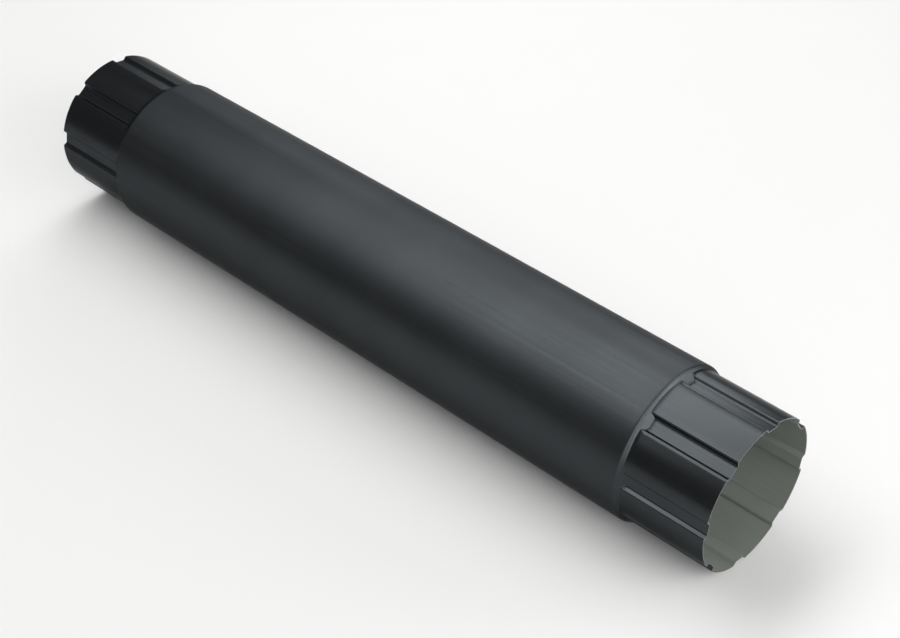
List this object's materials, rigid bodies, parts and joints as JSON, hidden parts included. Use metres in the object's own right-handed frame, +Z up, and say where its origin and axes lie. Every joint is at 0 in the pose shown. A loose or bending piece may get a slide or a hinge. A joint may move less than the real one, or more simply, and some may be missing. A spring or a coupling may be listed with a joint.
{
  "type": "downpipe extension",
  "caption": "Round steel rainwater pipe length, swaged at both ends to a narrower fluted spigot that plugs into the next pipe.",
  "frame": {"origin": "on the floor, under the middle of the pipe's length", "axes": "+X along the pipe towards one end, +Z up, the pipe's axis one body radius above the floor"},
  "size_m": [0.545, 0.1, 0.0999],
  "materials": {
    "coated_steel": "coil-coated steel sheet, satin dark grey outside, olive grey backing coat inside, bare cut edge"
  },
  "bodies": {
    "root": {"downpipe": "coated_steel"}
  },
  "joints": []
}
